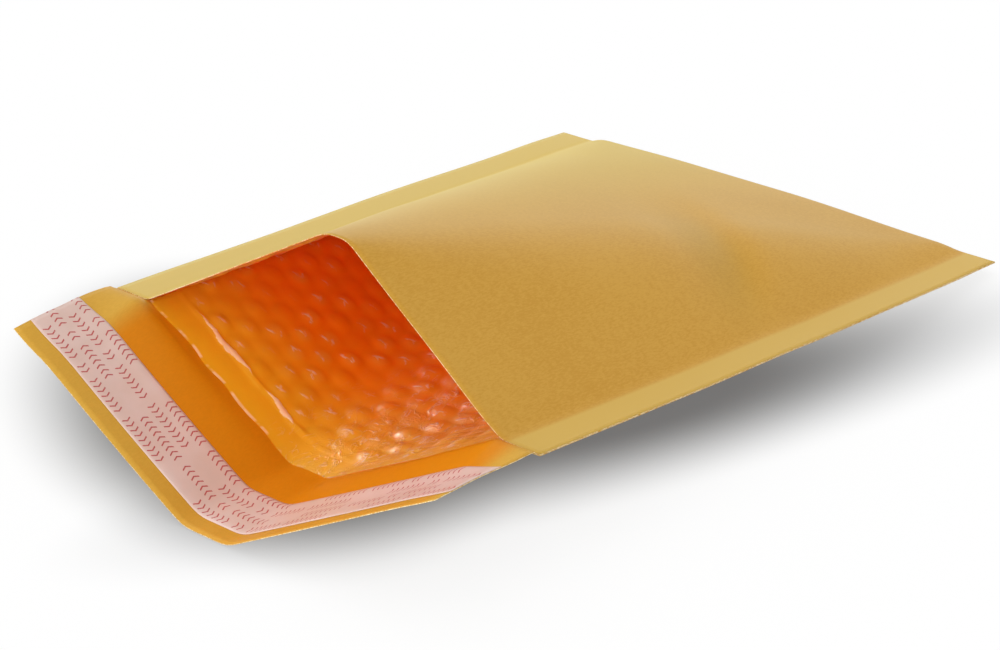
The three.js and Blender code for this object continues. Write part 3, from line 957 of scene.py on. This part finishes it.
def buildFloor():
    bm = bmesh.new()
    bmesh.ops.create_grid(bm, x_segments=1, y_segments=1, size=studio["floorSize"])
    mesh = bpy.data.meshes.new("floor")
    bm.to_mesh(mesh)
    bm.free()
    mesh.transform(Matrix.Translation((0, 0, -studio["floorDrop"])))
    floor = bpy.data.objects.new("floor", mesh)
    bpy.context.scene.collection.objects.link(floor)
    material, shader = newMaterial("studioFloor")
    w = Wiring(material)
    rays = w.add("ShaderNodeLightPath")
    seen = w.math("MAXIMUM", rays.outputs["Is Camera Ray"], rays.outputs["Is Glossy Ray"])
    seen = w.math("MAXIMUM", seen, rays.outputs["Is Transmission Ray"])
    plain, bright = studio["floorColour"], studio["floorLit"]
    colour = w.blend(seen, (plain, plain, plain, 1), (bright, bright, bright, 1))
    diffuse = w.add("ShaderNodeBsdfDiffuse", {"Color": colour})
    openness = w.add("ShaderNodeAmbientOcclusion", {"Distance": studio["closeReach"]}, samples=6)
    strength = w.between(openness.outputs["AO"], 0.0, 0.95, studio["closeShade"], 1.0)
    floorPlace = w.add("ShaderNodeTexCoord").outputs["Object"]
    # painted shadow: soft ellipses darken the floor's glow under the envelope
    for *ellipse, core, darkest in studio["shade"]:
        away = w.fromEllipse(floorPlace, *ellipse)
        strength = w.math("MULTIPLY", strength, w.between(away, core, 1.0, darkest, 1.0))
    glow = w.add("ShaderNodeEmission", {"Strength": strength})
    share = w.math("MULTIPLY", seen, studio["floorGlow"])
    both = w.add("ShaderNodeMixShader", {0: share, 1: diffuse.outputs[0], 2: glow.outputs[0]})
    output = next(n for n in material.node_tree.nodes if n.type == "OUTPUT_MATERIAL")
    material.node_tree.links.new(both.outputs[0], output.inputs[0])
    material.node_tree.nodes.remove(shader)
    mesh.materials.append(material)


def addSun(name, azimuth, elevation, strength, angle, onlyOn=None):
    # a lamp that is onlyOn a collection gives it shine alone, and no shadow
    lamp = bpy.data.lights.new(name, "SUN")
    lamp.energy = strength
    lamp.angle = math.radians(angle)
    thing = bpy.data.objects.new(name, lamp)
    thing.rotation_euler = placeFromAngles(azimuth, elevation).to_track_quat("Z", "Y").to_euler()
    bpy.context.scene.collection.objects.link(thing)
    if onlyOn:
        thing.visible_diffuse = False
        lamp.use_shadow = False
        thing.light_linking.receiver_collection = onlyOn
    return thing


def buildStudio():
    world = bpy.data.worlds.new("studio")
    bpy.context.scene.world = world
    world.use_nodes = True
    background = next(n for n in world.node_tree.nodes if n.type == "BACKGROUND")
    tree = world.node_tree
    place = tree.nodes.new("ShaderNodeTexCoord")
    split = tree.nodes.new("ShaderNodeSeparateXYZ")
    fade = tree.nodes.new("ShaderNodeMapRange")
    fade.inputs["From Min"].default_value = 0
    fade.inputs["From Max"].default_value = studio["skyFade"]
    fade.inputs["To Min"].default_value = studio["skyEdge"]
    fade.inputs["To Max"].default_value = studio["skyTop"]
    tree.links.new(place.outputs["Generated"], split.inputs[0])
    tree.links.new(split.outputs["Z"], fade.inputs["Value"])
    tree.links.new(fade.outputs[0], background.inputs["Strength"])
    background.inputs["Color"].default_value = (1, 1, 1, 1)
    for lamp in studio["lamps"]:
        addSun(*lamp)
    shiny = bpy.data.collections.new("shiny film")
    shiny.objects.link(bubbleFilmPiece)
    for lamp in studio["glints"]:
        addSun(*lamp, onlyOn=shiny)
    # the warm light that the paper would throw back and forth inside the pocket
    fill = addSun(*studio["pocketFill"], onlyOn=shiny)
    fill.data.color = studio["pocketFillColour"]
    fill.visible_diffuse = True
    fill.visible_glossy = False
    buildFloor()


def buildCamera():
    lens = bpy.data.cameras.new("camera")
    lens.sensor_width = view["sensor"]
    lens.lens = view["focalShare"] * view["sensor"]
    lens.clip_start, lens.clip_end = 0.05, 20
    camera = bpy.data.objects.new("camera", lens)
    back = placeFromAngles(view["azimuth"], view["elevation"])
    camera.location = Vector(view["target"]) + back * view["distance"]
    aim = (-back).to_track_quat("-Z", "Y")
    turn = Euler((0, 0, math.radians(view["roll"]))).to_quaternion()
    camera.rotation_mode = "QUATERNION"
    camera.rotation_quaternion = aim @ turn
    bpy.context.scene.collection.objects.link(camera)
    bpy.context.scene.camera = camera


buildStudio()
buildCamera()
bpy.context.scene.view_settings.view_transform = "Standard"
bpy.context.scene.cycles.diffuse_bounces = 12
bpy.context.scene.cycles.max_bounces = 16
print("studio ready")
